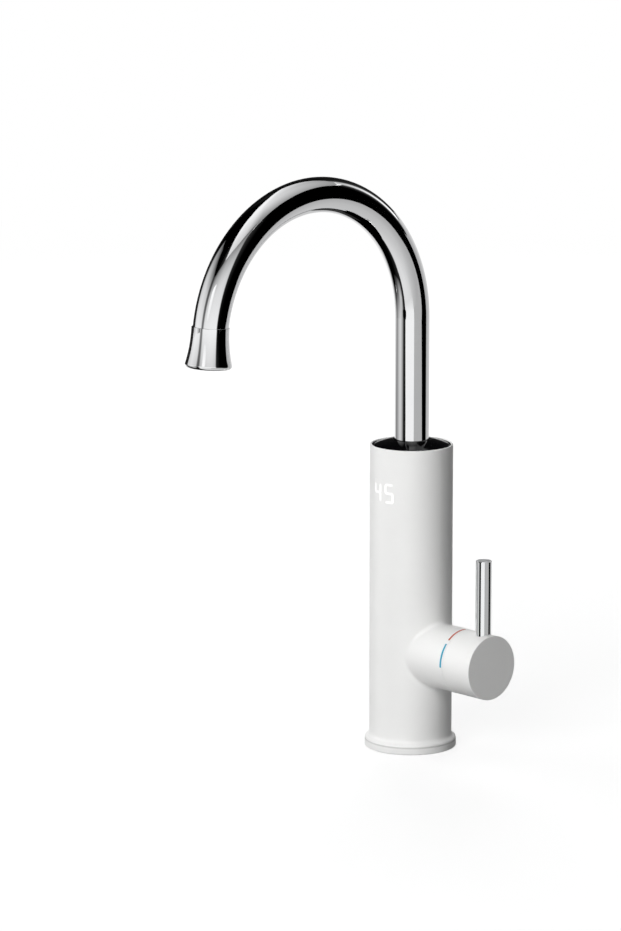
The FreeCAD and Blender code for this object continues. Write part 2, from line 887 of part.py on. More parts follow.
def temperature_sensor():
    head = cylinder(sensor_hex, pot_cap_top, pot_cap_top + sensor_head, 0, sensor_y())
    # the probe ends in the outlet water, over the hairpins
    tip = pot_top - element_head_room + element_radius
    return head.fuse(cylinder(sensor_radius, tip, pot_cap_top, 0, sensor_y()))


def thermal_cutout():
    half = cutout_thickness / 2
    low = pot_radius + cutout_pad
    button = rod(cutout_radius, (low, pot_offset, cutout_height), (1, 0, 0), half)
    cap = rod(cutout_radius - cutout_margin, (low + half, pot_offset, cutout_height), (1, 0, 0), half)
    return button.fuse(cap)


def socket_nut():
    inner = outlet_radius + slip
    lip_low = outlet_top + clear
    return turned([
        (inner, outlet_top - tail_nut_length),
        (inner + tail_nut_wall, outlet_top - tail_nut_length),
        (inner + tail_nut_wall, lip_low + tail_nut_lip),
        (tube_inner + clear - slip, lip_low + tail_nut_lip),
        (tube_inner + clear - slip, lip_low),
        (inner, lip_low),
    ])


def top_cap():
    outer = cap_recess - slip
    bore = tube_radius + clear
    edge = column_top - cap_edge_drop
    top = column_top + cap_rise
    return turned([
        (outer - cap_wall, cap_ledge),
        (outer, cap_ledge),
        (outer, edge),
        (outer - cap_bevel, edge + cap_bevel),
        ((outer + bore) / 2, (edge + cap_bevel + top) / 2 + cap_collar / 3, bore + cap_collar, top),
        (bore, top - cap_collar / 2),
        (bore, top - cap_wall),
        (outer - cap_wall, edge - cap_wall / 2),
    ])


def swan_neck(radius):
    bow = Part.Face(Part.Wire(Part.Circle(V(0, 0, bend_start), V(0, 0, 1), radius).toShape()))
    bow = bow.revolve(V(0, -bend_radius, bend_start), V(1, 0, 0), bend_sweep)
    return cylinder(radius, tube_bottom, bend_start).fuse(bow)


def spout_tube():
    return swan_neck(tube_radius).cut(swan_neck(tube_inner))


def tail_seal_places():
    step = (collar_low - outlet_floor) / 3
    return [outlet_floor + step, outlet_floor + 2 * step]


def tail_seal_inner():
    return tail_radius + run / 2 - 2 * ring_section


def spout_tail():
    tail = turned([
        (tail_bore, outlet_floor + clear),
        (tail_radius, outlet_floor + clear),
        (tail_radius, collar_low),
        (collar_radius, collar_low),
        (collar_radius, outlet_top),
        (tube_inner - slip, outlet_top),
        (tube_inner - slip, tail_top),
        (tail_bore, tail_top),
    ])
    for height in tail_seal_places():
        tail = tail.cut(ring_groove(tail_seal_inner(), tail_radius + run, height))
    return tail


def spout_o_rings():
    return Part.makeCompound([o_ring(tail_seal_inner(), height) for height in tail_seal_places()])


def nozzle():
    top = -nozzle_sleeve
    end = nozzle_flare_end + nozzle_lip
    mouth = nozzle_flare_radius - nozzle_lip_width
    middle = (nozzle_top_radius + nozzle_flare_radius) / 2 - nozzle_flare_sag
    round_share = math.sqrt(0.5)
    # the sleeve widens towards its top, where the tube is still bending
    seat = tube_radius + slip
    sag = nozzle_sleeve ** 2 / (2 * bend_radius)
    return at_spout_end(turned([
        (seat + sag, top),
        (nozzle_top_radius - nozzle_edge, top),
        bend(nozzle_top_radius - nozzle_edge, top + nozzle_edge, nozzle_edge, -90, 0),
        (middle, (top + nozzle_flare_end) / 2, nozzle_flare_radius, nozzle_flare_end),
        (mouth + round_share * nozzle_lip_width, nozzle_flare_end + round_share * nozzle_lip, mouth, end),
        (nozzle_bore, end - aerator_mouth),
        (nozzle_bore, 0),
        (seat, 0),
    ]))


def aerator_high():
    return nozzle_flare_end + nozzle_lip - aerator_mouth


def aerator_washer():
    outer = nozzle_bore - slip
    return at_spout_end(ring(outer, outer - aerator_washer_width, 0, aerator_washer_thickness))


def aerator_insert():
    low = aerator_washer_thickness
    high = aerator_high()
    outer = nozzle_bore - slip
    insert = cylinder(outer, low, high)
    insert = insert.cut(cylinder(outer - aerator_wall, low, high - aerator_floor))
    circles = ((aerator_outer_circle, aerator_outer_jets), (aerator_inner_circle, aerator_inner_jets))
    for place, count in circles:
        for k in range(count):
            angle = 2 * math.pi * k / count
            insert = insert.cut(cylinder(aerator_jet_radius, high - aerator_floor, high,
                                         place * math.cos(angle), place * math.sin(angle)))
    return at_spout_end(insert)


def control_board():
    board = block(-board_half_width, board_half_width, board_front, board_back, board_low, board_high)
    for x in post_columns:
        for z in post_rows:
            board = board.cut(rod(board_screw_radius + slip, (x, board_front, z), (0, 1, 0), board_thickness))
    return board


def board_screws():
    screws = []
    for x in post_columns:
        for z in post_rows:
            stem = rod(board_screw_radius, (x, board_front, z), (0, 1, 0), board_screw_length)
            head = rod(board_screw_head, (x, board_front, z), (0, -1, 0), board_screw_head_height)
            screws.append(stem.fuse(head))
    return Part.makeCompound(screws)


def relay():
    return block(-relay_half_width, relay_half_width, board_front - relay_depth, board_front,
                 relay_low, relay_low + relay_height)


def terminal_block():
    front = board_front - terminal_depth
    middle = terminal_low + terminal_height / 2
    piece = block(-terminal_half_width, terminal_half_width, front, board_front,
                  terminal_low, terminal_low + terminal_height)
    step = 2 * terminal_half_width / terminal_ways
    for k in range(terminal_ways):
        x = -terminal_half_width + step * (k + 0.5)
        piece = piece.cut(rod(terminal_screw_radius, (x, front, middle), (0, 1, 0), terminal_depth / 2))
    return piece


def digit_display():
    return block(display_centre_x - display_half_width, display_centre_x + display_half_width,
                 board_front - display_depth, board_front,
                 display_height - display_half_height, display_height + display_half_height)


def display_diffuser():
    outer = column_radius - window_skin - slip
    return window(window_half_width - slip, window_half_height - slip, outer, outer - diffuser_thickness)


pieces = [
    body_shell, base_ring, base_gasket, base_plate, base_screws,
    inlet_shank, inlet_seal, inlet_filter, worktop_washer, clamp_plate, backnut, cable_gland,
    valve_body, cartridge_seal, fixed_disc, cartridge_housing, cartridge_nut,
    flow_switch_body, flow_switch_seals, reed_switch,
    heater_chamber, heating_elements, element_glands, chamber_seal, chamber_cap,
    temperature_sensor, thermal_cutout, socket_nut, top_cap,
    control_board, board_screws, relay, terminal_block, digit_display, display_diffuser,
    spout_tube, spout_tail, spout_o_rings, nozzle, aerator_washer, aerator_insert,
    knob, lever_pin, grub_screw, valve_spindle, spindle_o_rings, moving_disc,
    flow_float, float_magnet,
]

os.makedirs("parts", exist_ok=True)
for piece in pieces:
    shape = piece()
    shape.exportStep("parts/" + piece.__name__ + ".step")
    state = "valid" if shape.isValid() else "not valid"
    print(piece.__name__, len(shape.Solids), "solids", round(shape.Volume), "mm3", state)
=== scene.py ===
import math

import bmesh
import bpy
from mathutils import Matrix, Vector


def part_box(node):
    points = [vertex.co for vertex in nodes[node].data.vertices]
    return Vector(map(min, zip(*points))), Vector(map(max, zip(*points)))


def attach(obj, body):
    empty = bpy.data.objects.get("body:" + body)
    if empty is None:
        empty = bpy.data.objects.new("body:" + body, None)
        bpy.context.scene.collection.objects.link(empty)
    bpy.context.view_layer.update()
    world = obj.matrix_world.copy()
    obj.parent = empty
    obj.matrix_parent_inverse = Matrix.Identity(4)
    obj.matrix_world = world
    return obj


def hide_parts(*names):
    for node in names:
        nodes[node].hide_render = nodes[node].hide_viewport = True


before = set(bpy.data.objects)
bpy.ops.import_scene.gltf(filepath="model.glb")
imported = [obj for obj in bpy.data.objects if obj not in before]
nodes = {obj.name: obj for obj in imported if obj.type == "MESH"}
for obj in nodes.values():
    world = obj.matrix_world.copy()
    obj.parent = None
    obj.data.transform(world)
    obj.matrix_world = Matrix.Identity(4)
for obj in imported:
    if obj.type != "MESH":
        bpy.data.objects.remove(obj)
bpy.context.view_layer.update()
mm = 0.001
print("frame loaded:", len(nodes), "nodes")

# places that the pieces below are set by, in metres
columnRadius = 27.5 * mm
handleRadius = (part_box("knob")[1].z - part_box("knob")[0].z) / 2
handleHeight = (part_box("knob")[1].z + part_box("knob")[0].z) / 2


def linear(hexColour):
    # sRGB hex to linear, with full alpha
    parts = [int(hexColour[i:i + 2], 16) / 255 for i in (1, 3, 5)]
    return [c / 12.92 if c <= 0.04045 else ((c + 0.055) / 1.055) ** 2.4 for c in parts] + [1.0]


def addNode(tree, kind, inputs=None, **settings):
    # one node with its settings, its plain values and its links
    node = tree.nodes.new(kind)
    for name, value in settings.items():
        setattr(node, name, value)
    for name, value in (inputs or {}).items():
        if isinstance(value, bpy.types.NodeSocket):
            tree.links.new(value, node.inputs[name])
        else:
            node.inputs[name].default_value = value
    return node


def newMaterial(name, values):
    material = bpy.data.materials.new(name)
    material.use_nodes = True
    shader = material.node_tree.nodes["Principled BSDF"]
    for socket, value in values.items():
        shader.inputs[socket].default_value = value
    place = addNode(material.node_tree, "ShaderNodeTexCoord").outputs["Object"]
    return material, material.node_tree, shader, place


def perMetre(sizeMm):
    # a pattern's scale from the real size of one feature
    return 1 / (sizeMm * mm)


def dress(tree, shader, tone, relief, colours, gloss, depthMm):
    # colour and gloss follow one pattern, the relief another
    first, second = (linear(colour) for colour in colours)
    tint = addNode(tree, "ShaderNodeMix", {"Factor": tone, "A": first, "B": second}, data_type="RGBA")
    sheen = addNode(tree, "ShaderNodeMapRange", {"Value": tone, "To Min": gloss[0], "To Max": gloss[1]})
    bump = addNode(tree, "ShaderNodeBump", {"Height": relief, "Distance": depthMm * mm})
    tree.links.new(tint.outputs["Result"], shader.inputs["Base Color"])
    tree.links.new(sheen.outputs["Result"], shader.inputs["Roughness"])
    tree.links.new(bump.outputs["Normal"], shader.inputs["Normal"])


def radiusAndHeight(tree, place):
    # distance from the upright axis, and height
    flat = addNode(tree, "ShaderNodeVectorMath", {0: place, 1: (1, 1, 0)}, operation="MULTIPLY")
    radius = addNode(tree, "ShaderNodeVectorMath", {0: flat.outputs[0]}, operation="LENGTH")
    parts = addNode(tree, "ShaderNodeSeparateXYZ", {0: place})
    return radius.outputs["Value"], parts.outputs["Z"]


def turnedPlace(tree, place):
    # lines in this run round a turned piece
    radius, height = radiusAndHeight(tree, place)
    return addNode(tree, "ShaderNodeCombineXYZ", {"X": radius, "Z": height}).outputs[0]


def paintOver(tree, shader, mask, colour, gloss):
    # another colour and gloss where the mask is 1
    tint, sheen = (shader.inputs[name].links[0].from_socket for name in ("Base Color", "Roughness"))
    tint = addNode(tree, "ShaderNodeMix", {"Factor": mask, "A": tint, "B": linear(colour)},
                   data_type="RGBA")
    sheen = addNode(tree, "ShaderNodeMix", {"Factor": mask, "A": sheen, "B": gloss})
    tree.links.new(tint.outputs["Result"], shader.inputs["Base Color"])
    tree.links.new(sheen.outputs["Result"], shader.inputs["Roughness"])


def mouldedAbs(name="moulded_abs_white"):
    # injection-moulded ABS with a satin polish: soft sheen, faint orange peel
    material, tree, shader, place = newMaterial(name, {"IOR": 1.53})
    cloud = addNode(tree, "ShaderNodeTexNoise", {"Vector": place, "Scale": perMetre(25), "Detail": 3.0})
    peel = addNode(tree, "ShaderNodeTexNoise", {"Vector": place, "Scale": perMetre(1.4), "Detail": 2.0})
    dress(tree, shader, cloud.outputs["Fac"], peel.outputs["Fac"],
          colours=("#EFEFEE", "#F3F3F2"), gloss=(0.36, 0.46), depthMm=0.004)
    return material


# what sets the column and its ring off from the plain moulding, in mm: a painted shade line along their
# seam, and black inside the mouth
shellPaint = {
    # painted shade: a darker grey band along the seam between column and ring, where the gap's shadow falls
    "seam": {"full": 0.3, "gone": 0.7, "colour": "#D4D4D3", "gloss": 0.5},   # distances from the seam
    "mouth": {"pastCap": 0.12, "colour": "#0A0A0B", "gloss": 0.12},
}


def mouldedShell(seamHeight, cap, c=shellPaint):
    # the same moulding on column and ring: a painted shade line along their seam, standing in for the
    # shadow in the gap, and black inside the mouth round the cap
    material = mouldedAbs("moulded_abs_shell")
    tree = material.node_tree
    shader = tree.nodes["Principled BSDF"]
    radius, height = radiusAndHeight(tree, tree.nodes["Texture Coordinate"].outputs["Object"])
    seam, mouth = c["seam"], c["mouth"]
    # painted shade: the colour darkens within a millimetre of the seam's height, standing in for the shadow
    # in the gap
    away = addNode(tree, "ShaderNodeMath", {0: height, 1: seamHeight}, operation="SUBTRACT")
    gap = addNode(tree, "ShaderNodeMath", {0: away.outputs[0]}, operation="ABSOLUTE")
    line = addNode(tree, "ShaderNodeMapRange", {
        "Value": gap.outputs[0], "From Min": seam["full"] * mm, "From Max": seam["gone"] * mm,
        "To Min": 1.0, "To Max": 0.0})
    paintOver(tree, shader, line.outputs["Result"], seam["colour"], seam["gloss"])
    wall = cap[1].x + mouth["pastCap"] * mm
    inside = addNode(tree, "ShaderNodeMath", {0: radius, 1: wall}, operation="LESS_THAN")
    above = addNode(tree, "ShaderNodeMath", {0: height, 1: cap[0].z}, operation="GREATER_THAN")
    both = addNode(tree, "ShaderNodeMath", {0: inside.outputs[0], 1: above.outputs[0]},
                   operation="MULTIPLY")
    paintOver(tree, shader, both.outputs[0], mouth["colour"], mouth["gloss"])
    return material


def chromePlate():
    # polished chrome plate over brass: a clean mirror with the least haze in patches
    material, tree, shader, place = newMaterial("chrome_plate", {"Metallic": 1.0})
    haze = addNode(tree, "ShaderNodeTexNoise", {"Vector": place, "Scale": perMetre(18), "Detail": 4.0})
    wave = addNode(tree, "ShaderNodeTexNoise", {"Vector": place, "Scale": perMetre(30), "Detail": 1.0})
    dress(tree, shader, haze.outputs["Fac"], wave.outputs["Fac"],
          colours=("#F0F1F2", "#F6F6F7"), gloss=(0.03, 0.06), depthMm=0.004)
    return material


def chromePin(top, endDepth=0.05 * mm, hazeShare=0.04):
    # the same plate on the lever, whose turned end was left dull
    material, tree, shader, place = newMaterial("chrome_pin", {"Metallic": 1.0})
    haze = addNode(tree, "ShaderNodeTexNoise", {"Vector": place, "Scale": perMetre(6), "Detail": 4.0})
    faint = addNode(tree, "ShaderNodeMath", {0: haze.outputs["Fac"], 1: hazeShare}, operation="MULTIPLY")
    height = addNode(tree, "ShaderNodeSeparateXYZ", {0: place})
    end = addNode(tree, "ShaderNodeMath", {0: height.outputs["Z"], 1: top - endDepth},
                  operation="GREATER_THAN")
    tone = addNode(tree, "ShaderNodeMath", {0: faint.outputs[0], 1: end.outputs[0]}, operation="MAXIMUM")
    dress(tree, shader, tone.outputs[0], haze.outputs["Fac"],
          colours=("#F4F5F6", "#F0F1F2"), gloss=(0.03, 1.0), depthMm=0.0005)
    return material


def glossBlack():
    # gloss black polycarbonate: deep black with a sharp reflection and faint polish marks
    material, tree, shader, place = newMaterial("gloss_black_polycarbonate", {"IOR": 1.58})
    smear = addNode(tree, "ShaderNodeTexNoise", {"Vector": place, "Scale": perMetre(9), "Detail": 5.0})
    flow = addNode(tree, "ShaderNodeTexNoise", {"Vector": place, "Scale": perMetre(6), "Detail": 1.0})
    dress(tree, shader, smear.outputs["Fac"], flow.outputs["Fac"],
          colours=("#060607", "#0B0B0D"), gloss=(0.05, 0.11), depthMm=0.002)
    return material


def epdmRubber():
    # moulded EPDM: dull black with a grey bloom and a fine pebble
    material, tree, shader, place = newMaterial("epdm_rubber", {"IOR": 1.52, "Specular IOR Level": 0.35})
    bloom = addNode(tree, "ShaderNodeTexNoise", {"Vector": place, "Scale": perMetre(5), "Detail": 5.0})
    pebble = addNode(tree, "ShaderNodeTexNoise", {"Vector": place, "Scale": perMetre(0.5), "Detail": 2.0})
    dress(tree, shader, bloom.outputs["Fac"], pebble.outputs["Fac"],
          colours=("#121213", "#262627"), gloss=(0.62, 0.8), depthMm=0.03)
    return material


def turnedBrass():
    # turned brass: warm metal with light tarnish; its tool lines are drawn 0.5 mm apart so that they show
    material, tree, shader, place = newMaterial("turned_brass", {"Metallic": 1.0})
    lines = addNode(tree, "ShaderNodeTexNoise", {"Vector": turnedPlace(tree, place), "Scale": perMetre(0.5),
                                                 "Detail": 2.0})
    tarnish = addNode(tree, "ShaderNodeTexNoise", {"Vector": place, "Scale": perMetre(7), "Detail": 5.0})
    both = addNode(tree, "ShaderNodeMath", {0: lines.outputs["Fac"], 1: tarnish.outputs["Fac"]},
                   operation="MULTIPLY")
    dress(tree, shader, both.outputs[0], lines.outputs["Fac"],
          colours=("#C7A55C", "#9C7A38"), gloss=(0.2, 0.5), depthMm=0.02)
    return material


def stampedSteel():
    # stamped stainless steel: cool grey, rolling streaks along X, softly polished
    material, tree, shader, place = newMaterial("stamped_stainless_steel", {"Metallic": 1.0})
    drawn = addNode(tree, "ShaderNodeMapping", {"Vector": place,
                                                "Scale": (perMetre(9), perMetre(0.3), perMetre(0.3))})
    streaks = addNode(tree, "ShaderNodeTexNoise", {"Vector": drawn.outputs[0], "Scale": 1.0, "Detail": 3.0})
    dress(tree, shader, streaks.outputs["Fac"], streaks.outputs["Fac"],
          colours=("#A6A8AA", "#C9CBCD"), gloss=(0.22, 0.42), depthMm=0.008)
    return material


def acetalGrey():
    # moulded acetal: waxy mid grey with faint flow clouds
    material, tree, shader, place = newMaterial("acetal_grey", {"IOR": 1.48})
    flow = addNode(tree, "ShaderNodeTexNoise", {"Vector": place, "Scale": perMetre(6), "Detail": 2.0,
                                                "Distortion": 0.8})
    grit = addNode(tree, "ShaderNodeTexNoise", {"Vector": place, "Scale": perMetre(0.6), "Detail": 2.0})
    dress(tree, shader, flow.outputs["Fac"], grit.outputs["Fac"],
          colours=("#87898C", "#9A9C9F"), gloss=(0.38, 0.52), depthMm=0.01)
    return material


def glassNylon():
    # glass-filled nylon: black with short pale fibres near the skin
    material, tree, shader, place = newMaterial("glass_filled_nylon", {"IOR": 1.53})
    drawn = addNode(tree, "ShaderNodeMapping", {"Vector": place, "Rotation": (0.5, 0.4, 0.9),
                                                "Scale": (perMetre(2.5), perMetre(0.3), perMetre(0.3))})
    fibres = addNode(tree, "ShaderNodeTexNoise", {"Vector": drawn.outputs[0], "Scale": 1.0, "Detail": 4.0})
    dress(tree, shader, fibres.outputs["Fac"], fibres.outputs["Fac"],
          colours=("#121214", "#2C2C30"), gloss=(0.42, 0.62), depthMm=0.02)
    return material


def aluminaCeramic():
    # lapped alumina: creamy white, very smooth, with a speckle from the sintered grain
    material, tree, shader, place = newMaterial("lapped_alumina", {"IOR": 1.77})
    speckle = addNode(tree, "ShaderNodeTexVoronoi", {"Vector": place, "Scale": perMetre(0.35)})
    lap = addNode(tree, "ShaderNodeTexNoise", {"Vector": place, "Scale": perMetre(4), "Detail": 3.0})
    dress(tree, shader, speckle.outputs["Distance"], lap.outputs["Fac"],
          colours=("#F5F1E8", "#E6E0D2"), gloss=(0.14, 0.26), depthMm=0.002)
    return material


def solderMask():
    # glass-epoxy board under green solder mask: tracks about 2 mm wide stand out lighter, half gloss
    material, tree, shader, place = newMaterial("solder_mask_green", {"IOR": 1.55})
    turned = addNode(tree, "ShaderNodeMapping", {"Vector": place, "Rotation": (math.pi / 2, 0, 0)})
    tracks = addNode(tree, "ShaderNodeTexBrick", {
        "Vector": turned.outputs[0], "Scale": 1.0, "Brick Width": 9 * mm, "Row Height": 2.4 * mm,
        "Mortar Size": 0.4 * mm, "Color1": linear("#FFFFFF"), "Color2": linear("#B0B0B0"),
        "Mortar": linear("#000000")})
    dress(tree, shader, tracks.outputs["Color"], tracks.outputs["Color"],
          colours=("#0E4526", "#1C6A3C"), gloss=(0.28, 0.4), depthMm=0.03)
    return material


def opalPolycarbonate():
    # opal polycarbonate: milky, lets light through softly
    material, tree, shader, place = newMaterial("opal_polycarbonate", {"IOR": 1.58,
                                                                       "Transmission Weight": 0.25})
    milk = addNode(tree, "ShaderNodeTexNoise", {"Vector": place, "Scale": perMetre(8), "Detail": 3.0})
    grit = addNode(tree, "ShaderNodeTexNoise", {"Vector": place, "Scale": perMetre(0.4), "Detail": 1.0})
    dress(tree, shader, milk.outputs["Fac"], grit.outputs["Fac"],
          colours=("#E7E9E9", "#F4F5F5"), gloss=(0.36, 0.5), depthMm=0.01)
    return material


def sinteredFerrite():
    # sintered ferrite: dark grey, granular, with dull sparkle
    material, tree, shader, place = newMaterial("sintered_ferrite", {"IOR": 2.3})
    grains = addNode(tree, "ShaderNodeTexVoronoi", {"Vector": place, "Scale": perMetre(0.4)})
    dress(tree, shader, grains.outputs["Distance"], grains.outputs["Distance"],
          colours=("#3B3B3F", "#242427"), gloss=(0.4, 0.65), depthMm=0.04)
    return material


finishes = {
    "white_abs": mouldedAbs(),
    "chrome": chromePlate(),
    "black_gloss": glossBlack(),
    "rubber": epdmRubber(),
    "brass": turnedBrass(),
    "steel": stampedSteel(),
    "grey_plastic": acetalGrey(),
    "black_plastic": glassNylon(),
    "ceramic": aluminaCeramic(),
    "board_green": solderMask(),
    "diffuser": opalPolycarbonate(),
    "ferrite": sinteredFerrite(),
}
for node in nodes.values():
    for slot in node.material_slots:
        slot.material = finishes[slot.material.name.split(".")[0]]
nodes["lever_pin"].material_slots[0].material = chromePin(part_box("lever_pin")[1].z)
shellFinish = mouldedShell(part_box("base_ring")[1].z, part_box("top_cap"))
for name in ("body_shell", "base_ring"):
    nodes[name].material_slots[0].material = shellFinish
print("finishes on nodes:", len(finishes))


def finishMesh(bm, name, material, body, sharpOver=35):
    # a finished bmesh becomes a piece that rides on a body
    bmesh.ops.remove_doubles(bm, verts=bm.verts, dist=1e-6)
    bmesh.ops.recalc_face_normals(bm, faces=bm.faces)
    for face in bm.faces:
        face.smooth = True
    for edge in bm.edges:
        edge.smooth = edge.calc_face_angle(0) < math.radians(sharpOver)
    mesh = bpy.data.meshes.new(name)
    bm.to_mesh(mesh)
    bm.free()
    mesh.materials.append(material)
    piece = bpy.data.objects.new(name, mesh)
    bpy.context.scene.collection.objects.link(piece)
    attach(piece, body)
    return piece


# red and blue marks printed round the fixed side boss
scaleMarks = {
    "place": 50.0 * mm,        # along the handle's axis
    "width": 1.4 * mm,
    "height": 0.03 * mm,
    "sink": 0.05 * mm,
    "steps": 40,
    "arcs": {"mark_hot": ("#B0421F", 50, 94),       # degrees up from the front
             "mark_cold": ("#0F95B6", -2, 42)},
}


def printedInk(name, colour, lift=14):
    # pad-printed ink: even colour, mottled where it is a few steps of 255 lighter, half gloss
    material, tree, shader, place = newMaterial(name, {"IOR": 1.5})
    mottle = addNode(tree, "ShaderNodeTexNoise", {"Vector": place, "Scale": perMetre(0.6), "Detail": 2.0})
    worn = "#" + "".join(format(min(255, int(colour[i:i + 2], 16) + lift), "02X") for i in (1, 3, 5))
    dress(tree, shader, mottle.outputs["Fac"], mottle.outputs["Fac"],
          colours=(colour, worn), gloss=(0.35, 0.5), depthMm=0.003)
    return material


def buildMark(name, colour, first, last, c=scaleMarks):
    bm = bmesh.new()
    low, high = handleRadius - c["sink"], handleRadius + c["height"]
    corners = [(-1, low), (1, low), (1, high), (-1, high)]
    start = math.radians(first)
    ring = []
    for side, r in corners:
        ring.append(bm.verts.new((c["place"] + side * c["width"] / 2, -r * math.cos(start),
                                  handleHeight + r * math.sin(start))))
    face = bm.faces.new(ring)
    bmesh.ops.spin(bm, geom=[face], cent=(0, 0, handleHeight), axis=(-1, 0, 0),
                   angle=math.radians(last - first), steps=c["steps"], use_duplicate=False)
    finishMesh(bm, name, printedInk("pad_ink_" + name, colour), "tap_body")


for markName, (markColour, markFirst, markLast) in scaleMarks["arcs"].items():
    buildMark(markName, markColour, markFirst, markLast)
print("scale marks done")

# lit number behind the column's front wall
litNumber = {
    # in mm: left and right bars round the wall with the bars that are lit, then the level bars' heights
    "digits": {"4": (-6.0, -0.75, "fgbc"), "5": (3.75, 9.4, "afgcd")},
    "rows": (169.4, 175.3, 181.1),
    "gap": 0.8,                             # of a bar's end from the corner
    "halfStroke": 0.3,
    "soft": 0.6,                            # the light's soft edge in the wall
    "margin": 3.0,
    "cell": 0.2,
    "film": (0.01, 0.05),                   # inner and outer face above the wall
    "strength": 0.4,
}


def barsOf(c):
    low, mid, high = c["rows"]
    bars = []
    for left, right, lit in c["digits"].values():
        shapes = {"a": (left, right, high, high), "g": (left, right, mid, mid),
                  "d": (left, right, low, low), "f": (left, left, mid, high),
                  "b": (right, right, mid, high), "c": (right, right, low, mid),
                  "e": (left, left, low, mid)}
        for letter in lit:
            u0, u1, z0, z1 = shapes[letter]
            du = c["gap"] if u1 > u0 else 0
            dz = c["gap"] if z1 > z0 else 0
            bars.append((u0 + du, u1 - du, z0 + dz, z1 - dz))
    return bars


def litWall():
    # the same moulded wall, with light coming through it
    material = mouldedAbs("moulded_abs_lit")
    tree = material.node_tree
    shader = tree.nodes["Principled BSDF"]
    glow = addNode(tree, "ShaderNodeAttribute", attribute_name="glow")
    level = addNode(tree, "ShaderNodeMath", {0: glow.outputs["Fac"], 1: litNumber["strength"]},
                    operation="MULTIPLY")
    shader.inputs["Emission Color"].default_value = linear("#FFFFFF")
    tree.links.new(level.outputs["Value"], shader.inputs["Emission Strength"])
    return material


def buildDigits(c=litNumber):
    bars = barsOf(c)
    u0 = min(b[0] for b in bars) - c["margin"]
    u1 = max(b[1] for b in bars) + c["margin"]
    z0 = min(b[2] for b in bars) - c["margin"]
    z1 = max(b[3] for b in bars) + c["margin"]
    inner, outer = (columnRadius + t * mm for t in c["film"])
    start = u0 * mm / columnRadius
    bm = bmesh.new()
    foot = bm.verts.new((outer * math.sin(start), -outer * math.cos(start), z0 * mm))
    head = bm.verts.new((foot.co.x, foot.co.y, z1 * mm))
    side = bm.edges.new((foot, head))
    bmesh.ops.subdivide_edges(bm, edges=[side], cuts=round((z1 - z0) / c["cell"]) - 1)
    bmesh.ops.spin(bm, geom=bm.edges[:], cent=(0, 0, 0), axis=(0, 0, 1),
                   angle=(u1 - u0) * mm / columnRadius, steps=round((u1 - u0) / c["cell"]),
                   use_duplicate=False)
    bmesh.ops.recalc_face_normals(bm, faces=bm.faces)
    bm.faces.ensure_lookup_table()
    if bm.faces[0].normal.y > 0:
        bmesh.ops.reverse_faces(bm, faces=bm.faces)
    bmesh.ops.solidify(bm, geom=bm.faces, thickness=outer - inner)
    glow = bm.verts.layers.float.new("glow")
    for vert in bm.verts:
        u = math.atan2(vert.co.x, -vert.co.y) * columnRadius / mm
        z = vert.co.z / mm
        gap = min(math.hypot(max(b[0] - u, u - b[1], 0), max(b[2] - z, z - b[3], 0)) for b in bars)
        share = min(max((gap - c["halfStroke"]) / c["soft"], 0), 1)
        vert[glow] = 1 - share * share * (3 - 2 * share)
    finishMesh(bm, "lit_number", litWall(), "tap_body")


buildDigits()
print("lit number done")


def addTurned(bm, outline, closed=True, steps=72):
    # an outline of (radius, height) in mm, turned about Z
    corners = [bm.verts.new((r * mm, 0, z * mm)) for r, z in outline]
    edges = [bm.edges.new(pair) for pair in zip(corners, corners[1:] + corners[:1] * closed)]
    bmesh.ops.spin(bm, geom=edges, cent=(0, 0, 0), axis=(0, 0, 1), angle=2 * math.pi, steps=steps,
                   use_merge=True, use_duplicate=False)
    bmesh.ops.remove_doubles(bm, verts=bm.verts, dist=1e-6)


# shares of the pitch: half widths of a thread's ridge, depth of a screw's thread, plain neck under its head
threadForm = {"footHalf": 0.44, "crestHalf": 0.07, "screwDepth": 0.3, "neck": 0.2}


def addThread(bm, core, crest, pitch, low, high, steps=48, sink=0.08, c=threadForm):
    # a ridge that winds up a core, all in mm, with its foot sunk in the core
    half, flat = c["footHalf"] * pitch, c["crestHalf"] * pitch
    corners = ((core - sink, -half), (crest, -flat), (crest, flat), (core - sink, half))
    ring = [bm.verts.new((r * mm, 0, (low + half + dz) * mm)) for r, dz in corners]
    count = round((high - low - 2 * half) / pitch * steps)
    bmesh.ops.spin(bm, geom=[bm.faces.new(ring)], cent=(0, 0, 0), axis=(0, 0, 1),
                   dvec=(0, 0, pitch * mm / steps), angle=2 * math.pi * count / steps, steps=count,
                   use_duplicate=False)


# threaded shank that goes through the worktop, in mm
shank = {
    "bore": 7.0, "screenBore": 8.6, "screenDepth": 3.0, "step": -46.0, "sink": 0.05,
    "inlet": {"core": 9.25, "crest": 10.4, "pitch": 1.814, "chamfer": 1.0},
    "stem": {"core": 11.1, "crest": 12.0, "pitch": 1.5, "plainFrom": -2.0},
    "flange": {"low": 7.7, "high": 11.7, "radius": 15.0, "flat": 11.1, "edge": 0.3},
    "spigot": {"radius": 9.5, "high": 20.7, "edge": 0.4},
    "groove": {"radius": 7.55, "low": 15.1, "high": 17.3},
}


